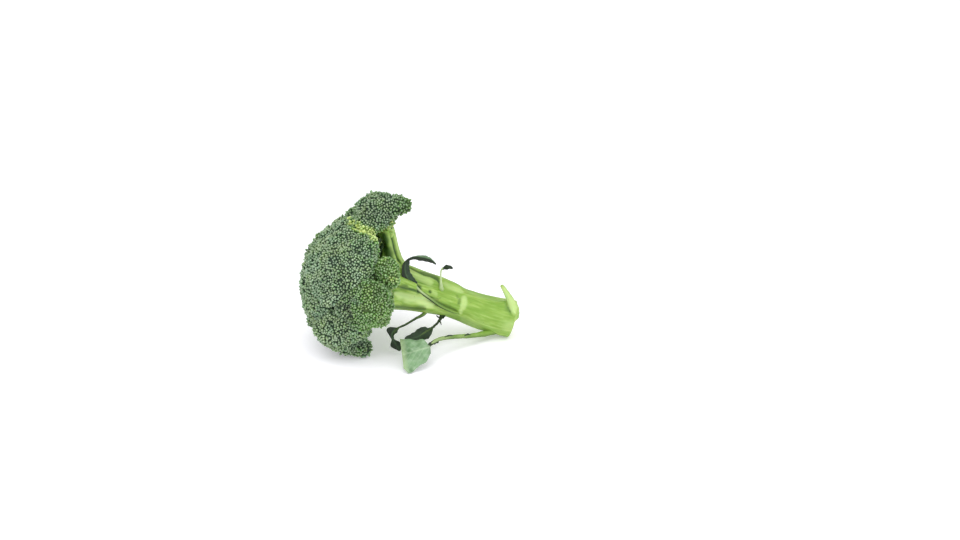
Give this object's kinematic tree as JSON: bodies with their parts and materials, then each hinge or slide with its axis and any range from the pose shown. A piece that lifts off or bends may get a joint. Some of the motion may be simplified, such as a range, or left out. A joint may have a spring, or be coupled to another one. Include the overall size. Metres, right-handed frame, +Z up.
{
  "type": "broccoli head",
  "caption": "Head of broccoli lying on its side: a domed crown of bud clusters on branching limbs, a thick cut stalk, and small leaves on thin stems.",
  "frame": {"origin": "centre of the bounding box's base, on the surface that the head lies on", "axes": "+X along the head's length, from the crown towards the cut end of the stalk; +Y away from the side with the broad leaf; +Z up"},
  "size_m": [0.1868, 0.1362, 0.1364],
  "materials": {
    "buds": "matte",
    "stalk": "satin",
    "leaf_dark": "satin",
    "leaf_pale": "matte"
  },
  "bodies": {
    "root": {"stalk": "stalk", "floret_top": "buds", "floret_front_high": "buds", "floret_front": "buds", "floret_front_low": "buds", "floret_bottom": "buds", "floret_back_low": "buds", "floret_back": "buds", "floret_back_high": "buds", "floret_dome_high": "buds", "floret_dome_front": "buds", "floret_dome_low": "buds", "floret_dome_back_low": "buds", "floret_dome_back": "buds", "leaf_broad": "leaf_pale", "leaf_dark": "leaf_dark", "leaf_two_lobed": "leaf_dark", "leaf_strap": "leaf_dark", "leaf_curled": "leaf_dark"}
  },
  "joints": []
}
